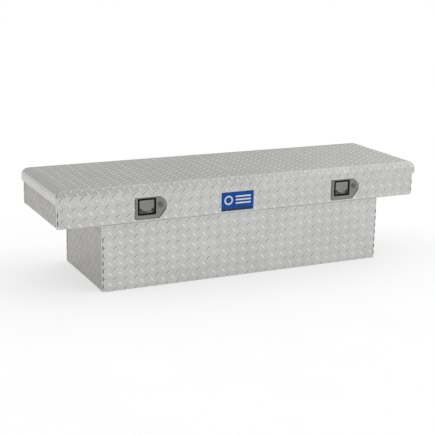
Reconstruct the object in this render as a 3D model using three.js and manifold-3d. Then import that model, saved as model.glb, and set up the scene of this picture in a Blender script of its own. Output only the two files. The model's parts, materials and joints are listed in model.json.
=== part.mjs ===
// Crossover tool box for a pickup truck: a deep lower box between the wheel wells,
// a wide upper tray that rests on the bed rails, and one lid hinged along the rear.
// Millimetres, +X along the box, -Y is the front with the two paddle latches, +Z up.
import * as THREE from 'three';
import { mergeVertices } from 'three/addons/utils/BufferGeometryUtils.js';
import Module from 'manifold-3d';

const wasm = await Module();
wasm.setup();

// ---- driving dimensions ----
const SHEET = 1.6;              // body sheet thickness
const GAP = 0.3;                // gap left between touching pieces
const LID_LENGTH = 1772;
const LID_DEPTH = 514;
const TOTAL_HEIGHT = 457;
const LID_OVERHANG = 8;         // lid past the tray on every side
const LOWER_LENGTH = 1366;      // lower box, between the wheel wells
const SHOULDER_Z = 295;         // underside of the saddles that rest on the bed rails
const SKIRT_Z = 401;            // lower edge of the lid skirt
const CREASE_Z = 430;           // skirt meets bevel
const BEVEL_FRONT = 13;
const BEVEL_END = 29;
const BEVEL_REAR = 9;
const RIM_Z = 420;              // top of the tray rim
const RIM_WIDTH = 24;
const SEAL_WIDTH = 12;
const LINER_Z = 428.3;          // underside of the lid liner

const LATCH_X = [-485, 485];    // centres of the two latch pockets
const STRUT_X = 660;            // gas struts stand this far from the middle
const HINGE_Y = 253.3;
const HINGE_Z = 396.5;

// ---- sizes worked out from them ----
const LID_X = LID_LENGTH / 2;
const LID_Y = LID_DEPTH / 2;
const TRAY_X = LID_X - LID_OVERHANG;
const TRAY_Y = LID_Y - LID_OVERHANG;
const LOWER_X = LOWER_LENGTH / 2;
const WALL_Y = TRAY_Y - SHEET;              // inner face of front and rear panels
const INSIDE_Y = WALL_Y - GAP;

const box = new THREE.Group();

// ---- materials ----
const COLOURS = {
  tread: [0xc4c4c2, 0.38, 0.85],
  stainless: [0xb4b6b6, 0.28, 0.95],
  zinc: [0xa9acab, 0.42, 0.85],
  chrome: [0xd2d4d6, 0.12, 1.0],
  rubber: [0x17181a, 0.85, 0.0],
  foam: [0xd8cfae, 0.95, 0.0],
  blackPaint: [0x1b1c1e, 0.45, 0.2],
  blue: [0x1a4fa0, 0.4, 0.1],
};

function material(look) {
  const [color, roughness, metalness] = COLOURS[look];
  return new THREE.MeshStandardMaterial({ color, roughness, metalness });
}

// ---- solids and booleans ----
// Corners are snapped to a fine binary grid, so faces meant to be flush really are.
const SNAP = 1024;

function solid(geometry) {
  const bare = geometry.index ? geometry.toNonIndexed() : geometry.clone();
  for (const name of Object.keys(bare.attributes)) {
    if (name !== 'position') bare.deleteAttribute(name);
  }
  const corners = bare.attributes.position.array;
  for (let i = 0; i < corners.length; i += 1) {
    corners[i] = Math.round(corners[i] * SNAP) / SNAP;
  }
  const merged = mergeVertices(bare, 1e-4);
  return new wasm.Manifold(new wasm.Mesh({
    numProp: 3,
    vertProperties: merged.attributes.position.array,
    triVerts: Uint32Array.from(merged.index.array),
  }));
}

function add(name, look, shape) {
  const mesh = shape.getMesh();
  const geometry = new THREE.BufferGeometry();
  geometry.setAttribute('position', new THREE.BufferAttribute(mesh.vertProperties, 3));
  geometry.setIndex(new THREE.BufferAttribute(mesh.triVerts, 1));
  const flat = geometry.toNonIndexed();
  flat.computeVertexNormals();
  const node = new THREE.Mesh(flat, material(look));
  node.name = name;
  box.add(node);
}

function union(...shapes) {
  return shapes.reduce((whole, next) => whole.add(next));
}

// Box between two corners.
function block(x0, x1, y0, y1, z0, z1) {
  const geometry = new THREE.BoxGeometry(x1 - x0, y1 - y0, z1 - z0);
  geometry.translate((x0 + x1) / 2, (y0 + y1) / 2, (z0 + z1) / 2);
  return solid(geometry);
}

// Cylinder along an axis ('x', 'y' or 'z') from lo to hi; a and b are its other two
// coordinates, in the order x, y, z.
function rod(axis, lo, hi, a, b, radius, sides = 16) {
  const geometry = new THREE.CylinderGeometry(radius, radius, hi - lo, sides);
  const middle = (lo + hi) / 2;
  if (axis === 'x') {
    geometry.rotateZ(Math.PI / 2);
    geometry.translate(middle, a, b);
  } else if (axis === 'y') {
    geometry.translate(a, middle, b);
  } else {
    geometry.rotateX(Math.PI / 2);
    geometry.translate(a, b, middle);
  }
  return solid(geometry);
}

// Outline in the X-Y plane, extruded from z0 to z1.
function plateXY(outline, z0, z1) {
  const geometry = new THREE.ExtrudeGeometry(outline, { depth: z1 - z0, bevelEnabled: false });
  geometry.translate(0, 0, z0);
  return solid(geometry);
}

// Outline in the X-Z plane, extruded from y0 to y1.
function plateXZ(outline, y0, y1, curveSegments = 8) {
  const geometry = new THREE.ExtrudeGeometry(outline, {
    depth: y1 - y0, bevelEnabled: false, curveSegments,
  });
  geometry.rotateX(Math.PI / 2);
  geometry.translate(0, y1, 0);
  return solid(geometry);
}

// Outline in the Y-Z plane, extruded from x0 to x1.
function plateYZ(outline, x0, x1, curveSegments = 8) {
  const geometry = new THREE.ExtrudeGeometry(outline, {
    depth: x1 - x0, bevelEnabled: false, curveSegments,
  });
  geometry.rotateX(Math.PI / 2);
  geometry.rotateZ(Math.PI / 2);
  geometry.translate(x0, 0, 0);
  return solid(geometry);
}

function outlineOf(points) {
  return new THREE.Shape(points.map(([a, b]) => new THREE.Vector2(a, b)));
}

function polar(centre, radius, degrees) {
  const angle = THREE.MathUtils.degToRad(degrees);
  return [centre[0] + radius * Math.cos(angle), centre[1] + radius * Math.sin(angle)];
}

// Points along an arc, both ends included.
function arc(centre, radius, from, to, steps) {
  const points = [];
  for (let i = 0; i <= steps; i += 1) {
    points.push(polar(centre, radius, from + (to - from) * (i / steps)));
  }
  return points;
}

// ---- tub: flat panels ----
const PANEL_FRONT = [-TRAY_Y, -WALL_Y];
const PANEL_REAR = [WALL_Y, TRAY_Y];
const LOWER_TOP = SHOULDER_Z - GAP;
const FLOOR_TOP = SHEET;
const UPPER_TOP = RIM_Z - SHEET - GAP;

function lowerBox() {
  add('floor_panel', 'tread', block(-LOWER_X, LOWER_X, -TRAY_Y, TRAY_Y, 0, FLOOR_TOP));
  add('lower_front_panel', 'tread',
    block(-LOWER_X, LOWER_X, ...PANEL_FRONT, FLOOR_TOP + GAP, LOWER_TOP));
  add('lower_rear_panel', 'tread',
    block(-LOWER_X, LOWER_X, ...PANEL_REAR, FLOOR_TOP + GAP, LOWER_TOP));
  for (const [side, sign] of [['left', -1], ['right', 1]]) {
    const outer = sign * LOWER_X;
    const inner = sign * (LOWER_X - SHEET);
    add(`${side}_lower_end`, 'tread', block(Math.min(outer, inner), Math.max(outer, inner),
      -INSIDE_Y, INSIDE_Y, FLOOR_TOP + GAP, SHOULDER_Z + SHEET));
  }
}

// Backing strips join the lower and upper panels along the seam.
function seamStrips() {
  const reach = LOWER_X - SHEET - 4;
  const height = [SHOULDER_Z - 17, SHOULDER_Z + 7];
  add('front_seam_strip', 'zinc', block(-reach, reach, -INSIDE_Y, -INSIDE_Y + SHEET, ...height));
  add('rear_seam_strip', 'zinc', block(-reach, reach, INSIDE_Y - SHEET, INSIDE_Y, ...height));
}

// Each saddle is one sheet: a floor over the bed rail, bent up into the end wall.
function saddles() {
  for (const [side, sign] of [['left', -1], ['right', 1]]) {
    const floor = [sign * TRAY_X, sign * (LOWER_X + GAP)];
    const end = [sign * TRAY_X, sign * (TRAY_X - SHEET)];
    add(`${side}_saddle_pan`, 'tread', union(
      block(Math.min(...floor), Math.max(...floor), -INSIDE_Y, INSIDE_Y,
        SHOULDER_Z, SHOULDER_Z + SHEET),
      block(Math.min(...end), Math.max(...end), -INSIDE_Y, INSIDE_Y, SHOULDER_Z, UPPER_TOP),
    ));
  }
}

// ---- latch sizes, measured from the middle of each pocket ----
const POCKET = { half: 40, low: 324, high: 394 };
const POCKET_WALL = 1.6;
const POCKET_BACK = -229.6;
const PLATE = { left: -54, right: 92, low: 303, high: 400, front: -252.3 };
const PADDLE = { half: 33.5, step: 351, high: 387, tongue: 24, drop: 13 };
const PADDLE_PIN = [-246, 383.5];
const PADDLE_TAIL_ANGLE = -12;
const PADDLE_TAIL = 36;
const TAIL_X = [1.5, 6.5];
const CATCH_X = [-7, -2];
const CHEEK_X = [9.5, 11.1];
const LOCK = { x: 62, z: 364, barrel: 9, plug: 6.3, flange: 11 };
const CATCH_PIN = [-194, 390];
const PAWL_PIN = [-195, 358.5];
const STRIKER = [-210, 403];
const PIN_RADIUS = 3;
const FRAME_WEB = -222.6;
const FRAME_Z = [345, 414];

// The front of the tray is in three lengths, so that each latch has a short panel round it.
function upperPanels() {
  const joint = 300;
  const clear = POCKET.half + POCKET_WALL + 1.4;
  const spans = [['left', -TRAY_X, -joint - GAP], ['middle', -joint, joint], ['right', joint + GAP, TRAY_X]];
  for (const [place, x0, x1] of spans) {
    let front = block(x0, x1, ...PANEL_FRONT, SHOULDER_Z, UPPER_TOP);
    for (const x of LATCH_X.filter((latch) => latch > x0 && latch < x1)) {
      const pocketHole = block(x - clear, x + clear, -TRAY_Y - 1, -WALL_Y + 1,
        PLATE.low + 6, POCKET.high + 3);
      const lockHole = rod('y', -TRAY_Y - 1, -WALL_Y + 1, x + LOCK.x, LOCK.z, LOCK.barrel + GAP);
      front = front.subtract(pocketHole).subtract(lockHole);
    }
    add(`${place}_tray_front`, 'tread', front);
  }
  add('upper_rear_panel', 'tread', block(-TRAY_X, TRAY_X, ...PANEL_REAR, SHOULDER_Z, UPPER_TOP));
}

function ring(halfX, halfY, width, z0, z1) {
  const outer = block(-halfX, halfX, -halfY, halfY, z0, z1);
  const opening = block(-halfX + width, halfX - width, -halfY + width, halfY - width,
    z0 - 1, z1 + 1);
  return outer.subtract(opening);
}

function rim() {
  const sealInset = 7;
  add('rim_flange', 'tread', ring(TRAY_X, TRAY_Y, RIM_WIDTH, RIM_Z - SHEET, RIM_Z));
  add('rim_seal', 'rubber',
    ring(TRAY_X - sealInset, TRAY_Y - sealInset, SEAL_WIDTH, RIM_Z + GAP, LINER_Z - GAP));
}

// ---- lid ----
// Closed outer form of the lid, drawn in by inset on every face but the open underside.
function lidForm(inset, bottom) {
  const low = [LID_X - inset, -LID_Y + inset, LID_Y - inset];
  const crease = CREASE_Z - inset * 0.3;
  const top = TOTAL_HEIGHT - inset;
  const crown = [LID_X - BEVEL_END - inset * 0.4, -LID_Y + BEVEL_FRONT + inset * 0.6,
    LID_Y - BEVEL_REAR - inset * 0.6];
  const corners = [];
  for (const [[x, front, rear], z] of [[low, bottom], [low, crease], [crown, top]]) {
    for (const [sx, y] of [[-1, front], [1, front], [1, rear], [-1, rear]]) {
      corners.push([sx * x, y, z]);
    }
  }
  return wasm.Manifold.hull(corners);
}

function lid() {
  const skin = lidForm(0, SKIRT_Z).subtract(lidForm(SHEET, SKIRT_Z - 1));
  add('lid_skin', 'tread', skin);
  const margin = 5;
  add('lid_foam', 'foam', block(-LID_X + BEVEL_END + margin, LID_X - BEVEL_END - margin,
    -LID_Y + BEVEL_FRONT + margin, LID_Y - BEVEL_REAR - margin,
    LINER_Z + SHEET + GAP, TOTAL_HEIGHT - SHEET - GAP));
  const reach = SHEET + GAP;
  add('lid_liner', 'zinc', block(-LID_X + reach, LID_X - reach, -LID_Y + reach, LID_Y - reach,
    LINER_Z, CREASE_Z - 0.5));
}

// ---- rear hinge ----
function hinge() {
  const knuckles = 16;
  const reach = TRAY_X - 2;
  const pitch = (2 * reach) / knuckles;
  const barrel = 3.5;
  const leaves = [
    block(-reach, reach, TRAY_Y + GAP, TRAY_Y + 1.8, HINGE_Z - 25, HINGE_Z - barrel - 0.5),
    block(-reach, reach, HINGE_Y + GAP, HINGE_Y + 1.8, SKIRT_Z, SKIRT_Z + 24),
  ];
  for (let i = 0; i < knuckles; i += 1) {
    const x0 = -reach + i * pitch + 0.25;
    const x1 = x0 + pitch - 0.5;
    const knuckle = rod('x', x0, x1, HINGE_Y, HINGE_Z, barrel, 12);
    const tab = i % 2 === 0
      ? block(x0, x1, TRAY_Y + GAP, TRAY_Y + 1.8, HINGE_Z - barrel - 1, HINGE_Z)
      : block(x0, x1, HINGE_Y + GAP, HINGE_Y + 1.8, HINGE_Z + 2, SKIRT_Z + 1);
    leaves[i % 2] = union(leaves[i % 2], tab, knuckle);
  }
  const bore = rod('x', -reach - 1, reach + 1, HINGE_Y, HINGE_Z, 1.8, 12);
  add('hinge_leaf_tub', 'stainless', leaves[0].subtract(bore));
  add('hinge_leaf_lid', 'stainless', leaves[1].subtract(bore));
  add('hinge_pin', 'stainless', rod('x', -reach, reach, HINGE_Y, HINGE_Z, 1.5, 10));
}

// ---- latches ----
function bezel(x) {
  const wingCentre = [x + PLATE.right - 38, 358];
  const outline = outlineOf([
    [x + PLATE.left + 8, PLATE.low],
    [x + 58, PLATE.low],
    ...arc(wingCentre, 38, -38, 62, 8),
    [x + 62, PLATE.high],
    [x + PLATE.left, PLATE.high],
    ...arc([x + PLATE.left + 8, PLATE.low + 8], 8, 180, 250, 4),
  ]);
  const plate = plateXZ(outline, PLATE.front, -TRAY_Y - GAP);
  const cup = block(x - POCKET.half - POCKET_WALL, x + POCKET.half + POCKET_WALL,
    PLATE.front + 1, POCKET_BACK + POCKET_WALL, POCKET.low - POCKET_WALL, POCKET.high + POCKET_WALL);
  const pocket = block(x - POCKET.half, x + POCKET.half, PLATE.front - 1, POCKET_BACK,
    POCKET.low, POCKET.high);
  const tailSlot = block(x + TAIL_X[0] - 2, x + TAIL_X[1] + 2, POCKET_BACK - 1,
    POCKET_BACK + POCKET_WALL + 1, 352, 382);
  const pinHole = rod('x', x - POCKET.half - 5, x + POCKET.half + 5, ...PADDLE_PIN, 1.8, 12);
  const lockHole = rod('y', PLATE.front - 1, -TRAY_Y + 1, x + LOCK.x, LOCK.z, LOCK.barrel + GAP);
  return plate.add(cup).subtract(pocket).subtract(tailSlot).subtract(pinHole).subtract(lockHole);
}

function gasket(x) {
  const outer = block(x - POCKET.half + GAP, x + POCKET.half - GAP, -252.2, -250,
    POCKET.low + GAP, POCKET.high - GAP);
  const hole = block(x - 34, x + 34, -253, -249, 330, 388);
  return outer.subtract(hole);
}

// Face plate with a half-moon finger tongue, a rolled top around the pin, and a tail
// that runs back through the pocket to trip the pawl.
function paddle(x) {
  const tongue = [];
  for (let i = 0; i <= 10; i += 1) {
    const angle = Math.PI * (i / 10);
    tongue.push([x - PADDLE.tongue * Math.cos(angle), PADDLE.step - PADDLE.drop * Math.sin(angle)]);
  }
  const face = plateXZ(outlineOf([
    [x - PADDLE.half, PADDLE.step],
    ...tongue,
    [x + PADDLE.half, PADDLE.step],
    [x + PADDLE.half, PADDLE.high],
    [x - PADDLE.half, PADDLE.high],
  ]), -250.5, -248.3);
  const [pinY, pinZ] = PADDLE_PIN;
  const barrel = rod('x', x - PADDLE.half + 1, x + PADDLE.half - 1, pinY, pinZ, 2.9, 12);
  const root = polar(PADDLE_PIN, 2, PADDLE_TAIL_ANGLE);
  const tip = polar(PADDLE_PIN, PADDLE_TAIL, PADDLE_TAIL_ANGLE);
  const tail = plateYZ(outlineOf([
    [root[0], root[1] - 1.5],
    ...arc(tip, 1.5, PADDLE_TAIL_ANGLE - 90, PADDLE_TAIL_ANGLE + 90, 4),
    [root[0], root[1] + 1.5],
  ]), x + TAIL_X[0], x + TAIL_X[1]);
  const bore = rod('x', x - PADDLE.half - 1, x + PADDLE.half + 1, pinY, pinZ, 1.8, 12);
  return union(face, barrel, tail).subtract(bore);
}

function lockPlug(x) {
  const plug = rod('y', -254.9, -227, x + LOCK.x, LOCK.z, LOCK.plug);
  const stub = rod('y', -228, -223.9, x + LOCK.x, LOCK.z, 3.5, 12);
  const keyway = block(x + LOCK.x - 0.8, x + LOCK.x + 0.8, -256, -252, LOCK.z - 3.5, LOCK.z + 3.5);
  return plug.add(stub).subtract(keyway);
}

function lockBarrel(x) {
  const flange = rod('y', -254.5, PLATE.front - GAP, x + LOCK.x, LOCK.z, LOCK.flange, 20);
  const barrel = rod('y', PLATE.front - 1, -229, x + LOCK.x, LOCK.z, LOCK.barrel);
  const bore = rod('y', -256, -228, x + LOCK.x, LOCK.z, LOCK.plug + GAP);
  return flange.add(barrel).subtract(bore);
}

function lockNut(x) {
  const nut = rod('y', -WALL_Y + GAP, -WALL_Y + 5, x + LOCK.x, LOCK.z, 13.5, 6);
  return nut.subtract(rod('y', -250, -240, x + LOCK.x, LOCK.z, LOCK.barrel + GAP));
}

// Arm that hangs down when unlocked and swings up beside the paddle tail when locked.
function lockCam(x) {
  const cx = x + LOCK.x;
  const arm = LOCK.x - TAIL_X[1] - 1.5;
  const cam = plateXZ(outlineOf([
    [cx - 5, LOCK.z - arm + 16],
    [cx - 12, LOCK.z - arm + 16],
    [cx - 12, LOCK.z - arm],
    [cx + 5, LOCK.z - arm],
    ...arc([cx, LOCK.z], 8, -35, 215, 8),
  ]), -226.7, -224.7);
  return cam.subtract(rod('y', -228, -223, cx, LOCK.z, 3.8, 12));
}

// Hat-section bracket with two rearward cheeks that carry the catch and the pawl.
function latchFrame(x) {
  const wall = POCKET.half + POCKET_WALL + 1;
  const foot = wall + SHEET + 14;
  const [low, high] = FRAME_Z;
  const cheekRear = -178;
  const webRear = FRAME_WEB + SHEET;
  const half = [
    [CHEEK_X[0], webRear],
    [CHEEK_X[0], cheekRear],
    [CHEEK_X[1], cheekRear],
    [CHEEK_X[1], webRear],
    [wall + SHEET, webRear],
    [wall + SHEET, -INSIDE_Y + SHEET],
    [foot, -INSIDE_Y + SHEET],
    [foot, -INSIDE_Y],
    [wall, -INSIDE_Y],
    [wall, FRAME_WEB],
  ];
  const section = [
    ...half.map(([u, y]) => [x + u, y]),
    ...half.map(([u, y]) => [x - u, y]).reverse(),
  ];
  const body = plateXY(outlineOf(section), low, high);
  const window = block(x - 8.5, x + 8.5, FRAME_WEB - 1, webRear + 1, low + 6, high - 6);
  // The wall on the lock side stops above the lock nut and the swing of the cam.
  const lockSide = block(x + wall - 1, x + foot + 1, -INSIDE_Y - 1, FRAME_WEB - 0.4, low - 1, 384);
  const slotHalf = 5.5;
  const strikerSlot = plateYZ(outlineOf([
    [STRIKER[0] - slotHalf, high + 1],
    ...arc(STRIKER, slotHalf, 180, 360, 8),
    [STRIKER[0] + slotHalf, high + 1],
  ]), x - 15, x + 15);
  return body.subtract(window).subtract(lockSide).subtract(strikerSlot)
    .subtract(rod('x', x - 15, x + 15, ...CATCH_PIN, PIN_RADIUS + GAP, 12))
    .subtract(rod('x', x - 15, x + 15, ...PAWL_PIN, PIN_RADIUS + GAP, 12));
}

// Rotary catch, drawn released with its throat open upwards.
function rotaryCatch(x) {
  const rim = 20;
  const throat = 13;
  const outline = outlineOf([
    ...arc(CATCH_PIN, rim, 200, 420, 14),
    ...arc(CATCH_PIN, 30, 72, 94, 3),
    ...arc(CATCH_PIN, throat, 94, 158, 5),
    ...arc(CATCH_PIN, 25, 158, 190, 3),
  ]);
  const hole = rod('x', x - 10, x, ...CATCH_PIN, PIN_RADIUS + GAP, 12);
  return plateYZ(outline, x + CATCH_X[0], x + CATCH_X[1]).subtract(hole);
}

function tripPawl(x) {
  const [py, pz] = PAWL_PIN;
  const reach = [-212.5, 371.6];
  const boss = rod('x', x + CATCH_X[0], x + TAIL_X[1], py, pz, 6.5);
  const heading = THREE.MathUtils.radToDeg(Math.atan2(reach[1] - pz, reach[0] - py));
  const lever = plateYZ(outlineOf([
    ...arc([py, pz], 4, heading + 90, heading + 270, 6),
    ...arc(reach, 2.5, heading - 90, heading + 90, 4),
  ]), x + TAIL_X[0], x + TAIL_X[1]);
  const tooth = plateYZ(outlineOf([[py - 4, pz], [py + 4, pz], [py + 2.5, 369.4], [py - 2.5, 369.4]]),
    x + CATCH_X[0], x + TAIL_X[1]);
  const hole = rod('x', x - 10, x + 10, py, pz, PIN_RADIUS + GAP, 12);
  return union(boss, lever, tooth).subtract(hole);
}

// Loop that hangs from the lid; its bar drops into the catch.
function striker(x) {
  const reach = 19;
  const bar = rod('x', x - reach - 4, x + reach + 4, ...STRIKER, 4);
  const top = LINER_Z - GAP;
  const legs = [-1, 1].map((sign) => rod('z', STRIKER[1], top - 1, x + sign * reach, STRIKER[0], 4));
  const base = block(x - 34, x + 34, STRIKER[0] - 12, STRIKER[0] + 12, top - 2, top);
  return union(bar, base, ...legs);
}

function latches() {
  for (const [index, side] of ['left', 'right'].entries()) {
    const x = LATCH_X[index];
    add(`${side}_latch_bezel`, 'stainless', bezel(x));
    add(`${side}_latch_gasket`, 'rubber', gasket(x));
    add(`${side}_paddle`, 'stainless', paddle(x));
    add(`${side}_paddle_pin`, 'stainless',
      rod('x', x - POCKET.half - 2.4, x + POCKET.half + 2.4, ...PADDLE_PIN, 1.5, 10));
    add(`${side}_lock_barrel`, 'chrome', lockBarrel(x));
    add(`${side}_lock_nut`, 'zinc', lockNut(x));
    add(`${side}_lock_plug`, 'chrome', lockPlug(x));
    add(`${side}_lock_cam`, 'zinc', lockCam(x));
    add(`${side}_latch_frame`, 'zinc', latchFrame(x));
    add(`${side}_rotary_catch`, 'zinc', rotaryCatch(x));
    add(`${side}_catch_pin`, 'stainless', rod('x', x - 13, x + 13, ...CATCH_PIN, PIN_RADIUS, 12));
    add(`${side}_trip_pawl`, 'zinc', tripPawl(x));
    add(`${side}_striker`, 'zinc', striker(x));
  }
}

// ---- gas struts ----
const STRUT_FOOT = [182, 208];      // Y, Z of the ball stud on the tub
const STRUT_HEAD = [52, 410];       // Y, Z of the ball stud on the lid, lid shut

function strut(side, sign) {
  const dy = STRUT_HEAD[0] - STRUT_FOOT[0];
  const dz = STRUT_HEAD[1] - STRUT_FOOT[1];
  const length = Math.hypot(dy, dz);
  const tilt = Math.atan2(dz, dy) - Math.PI / 2;
  const x = sign * STRUT_X;

  // Turned profile along the strut, from its foot, placed in the closed pose.
  const turned = (profile, sides = 16) => {
    const geometry = new THREE.LatheGeometry(profile.map(([r, h]) => new THREE.Vector2(r, h)), sides);
    geometry.rotateX(Math.PI / 2 + tilt);
    geometry.translate(x, ...STRUT_FOOT);
    return solid(geometry);
  };
  const socket = ([y, z], radius) => rod('x', x - 6, x + 6, y, z, radius);
  const ball = ([y, z]) => {
    const sphere = new THREE.SphereGeometry(4.7, 16, 10);
    sphere.translate(x, y, z);
    return solid(sphere);
  };
  const outward = (from, to) => [Math.min(x + sign * from, x + sign * to),
    Math.max(x + sign * from, x + sign * to)];
  const stud = (centre, tip) => union(ball(centre), rod('x', ...outward(0, tip), ...centre, 2.8, 12));

  const bodyTop = 214;
  const body = turned([[0, 7], [6, 7], [6, 14], [9, 14], [9, bodyTop], [0, bodyTop]])
    .add(socket(STRUT_FOOT, 8.5));
  const bore = turned([[0, 60], [4.6, 60], [4.6, bodyTop + 1], [0, bodyTop + 1]]);
  add(`${side}_strut_cylinder`, 'blackPaint', body.subtract(bore).subtract(socket(STRUT_FOOT, 5)));

  const shaft = turned([[0, 62], [4.2, 62], [4.2, length - 12], [6, length - 12], [6, length - 7],
    [0, length - 7]]);
  add(`${side}_strut_rod`, 'chrome', shaft.add(socket(STRUT_HEAD, 8.5)).subtract(socket(STRUT_HEAD, 5)));

  const wall = LOWER_X - SHEET - GAP - STRUT_X;
  add(`${side}_strut_foot_stud`, 'zinc', stud(STRUT_FOOT, wall - 2.5 - GAP));
  add(`${side}_strut_head_stud`, 'zinc', stud(STRUT_HEAD, 13));

  const [fy, fz] = STRUT_FOOT;
  add(`${side}_strut_foot_plate`, 'zinc', plateYZ(
    outlineOf([[fy - 14, fz - 22], [fy + 14, fz - 22], [fy + 14, fz + 22], [fy - 14, fz + 22]]),
    ...outward(wall - 2.5, wall)));

  const [hy, hz] = STRUT_HEAD;
  const top = LINER_Z - GAP;
  const tab = plateYZ(outlineOf([...arc([hy, hz], 9, 180, 360, 8), [hy + 12, top], [hy - 12, top]]),
    ...outward(13 + GAP, 15.5));
  const foot = block(...outward(13 + GAP, 40), hy - 14, hy + 14, top - 2.5, top);
  add(`${side}_strut_head_bracket`, 'zinc', tab.add(foot));
}

function nameplate() {
  const plateX = -53;
  add('nameplate', 'blue', block(plateX - 77, plateX + 77, -TRAY_Y - GAP - 1, -TRAY_Y - GAP, 305, 385));
}

lowerBox();
seamStrips();
saddles();
upperPanels();
rim();
lid();
hinge();
latches();
strut('left', -1);
strut('right', 1);
nameplate();

export default box;
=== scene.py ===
"""Crossover truck tool box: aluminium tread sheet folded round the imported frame."""
import json
import math

import bmesh
import bpy
from mathutils import Matrix, Vector
from mathutils.geometry import delaunay_2d_cdt

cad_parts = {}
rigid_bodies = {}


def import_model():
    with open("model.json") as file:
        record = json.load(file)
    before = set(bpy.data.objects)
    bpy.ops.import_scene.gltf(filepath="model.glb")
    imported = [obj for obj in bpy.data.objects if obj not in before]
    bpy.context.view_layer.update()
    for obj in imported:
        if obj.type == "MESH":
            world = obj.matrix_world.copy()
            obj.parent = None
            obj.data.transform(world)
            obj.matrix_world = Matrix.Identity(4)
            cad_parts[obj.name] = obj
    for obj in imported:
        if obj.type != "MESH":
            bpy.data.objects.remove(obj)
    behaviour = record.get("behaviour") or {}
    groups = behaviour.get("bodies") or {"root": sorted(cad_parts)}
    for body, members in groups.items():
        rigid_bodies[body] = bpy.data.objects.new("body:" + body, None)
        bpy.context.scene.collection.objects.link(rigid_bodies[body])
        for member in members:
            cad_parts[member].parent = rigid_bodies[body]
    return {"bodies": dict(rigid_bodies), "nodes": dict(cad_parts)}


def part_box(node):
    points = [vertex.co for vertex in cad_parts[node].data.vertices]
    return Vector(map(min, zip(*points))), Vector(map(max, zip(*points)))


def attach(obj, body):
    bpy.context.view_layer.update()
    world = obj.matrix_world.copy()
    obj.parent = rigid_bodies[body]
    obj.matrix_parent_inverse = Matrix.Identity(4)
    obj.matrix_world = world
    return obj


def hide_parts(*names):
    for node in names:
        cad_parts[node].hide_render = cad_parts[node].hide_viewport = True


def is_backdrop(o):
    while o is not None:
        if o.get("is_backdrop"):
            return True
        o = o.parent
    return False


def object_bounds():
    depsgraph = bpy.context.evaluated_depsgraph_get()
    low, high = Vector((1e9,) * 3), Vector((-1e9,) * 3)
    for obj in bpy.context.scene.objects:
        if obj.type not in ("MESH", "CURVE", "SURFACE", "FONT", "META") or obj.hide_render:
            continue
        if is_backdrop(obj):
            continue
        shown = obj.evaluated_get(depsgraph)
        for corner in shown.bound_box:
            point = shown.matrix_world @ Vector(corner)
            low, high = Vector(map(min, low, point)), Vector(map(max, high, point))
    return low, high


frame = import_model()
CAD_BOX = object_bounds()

MM = 0.001                      # the script works in millimetres, Blender in metres
SHEET = 1.6                     # body sheet thickness
FOLD = 2.4                      # flat lost on each side of a bend
SLIGHT_BEND = math.cos(math.radians(35))
SLIGHT_SHARE = 0.3              # of the fold, lost at a slight bend
LUG_HEIGHT = 1.2
LUG_ANGLE = math.radians(40)
CLEAR = 0.3                     # gap left between touching sheets
SEAM = 1.6                      # open joint between the lower and upper panels
RETURN = 12                     # side returns folded round the ends
EDGE_STEP = 90                  # long edges are cut up into steps of about this length
SAME_POINT = 0.02               # clipped corners closer than this are one
SIDES = (("left", -1), ("right", 1))


def cad(node):
    """Lowest and highest corner of a CAD node, in millimetres."""
    low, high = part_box(node)
    return low / MM, high / MM


LID_LOW, LID_HIGH = cad("lid_skin")
TRAY_LOW = cad("left_tray_front")[0]
TRAY_HIGH = cad("right_tray_front")[1]
LOWER_LOW, LOWER_HIGH = cad("lower_front_panel")
REAR_Y = cad("upper_rear_panel")[1].y
FRONT_Y = TRAY_LOW.y
SHOULDER_Z = TRAY_LOW.z
CREASE_Z = 430                  # lid skirt meets bevel
BEVEL_FRONT = 13
BEVEL_END = 29
BEVEL_REAR = 9

# pitch of the raised bars along and up a face, and the middle of one of them
FRONT_LATTICE = ((48.75, 45.4), (-676.6, 7.5))
TRAY_LATTICE = ((48.0, 46.5), (-853, 327))
FLOOR_LATTICE = (FRONT_LATTICE[0], (12, 8))
LID_PITCH = (46.0, 38.4)

# the latches: each is drawn from the middle of its gasket
LATCH_X = [sum(c.x for c in cad(f"{side}_latch_gasket")) / 2 for side, _ in SIDES]
PLATE_LOW, PLATE_HIGH = cad("left_latch_bezel")
PLATE_LEFT = PLATE_LOW.x - LATCH_X[0]
PLATE_RIGHT = PLATE_HIGH.x - LATCH_X[0]
PLUG_RADIUS = 6.3
LOCK_X = cad("left_lock_plug")[0].x - LATCH_X[0] + PLUG_RADIUS
LOCK_Z = 364
LOCK_HOLE = 9.3
POCKET_HOLE = (-43, 43, 321, 397)
POCKET_BACK = -229.6


# ---- materials ----
MIX_A, MIX_B, MIX_RESULT = 6, 7, 2      # colour sockets of the Mix node
LUG_SHINE = 1.12                # the crowns of the bars are this much brighter
LUG_POLISH = -0.17              # and this much less rough


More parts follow.
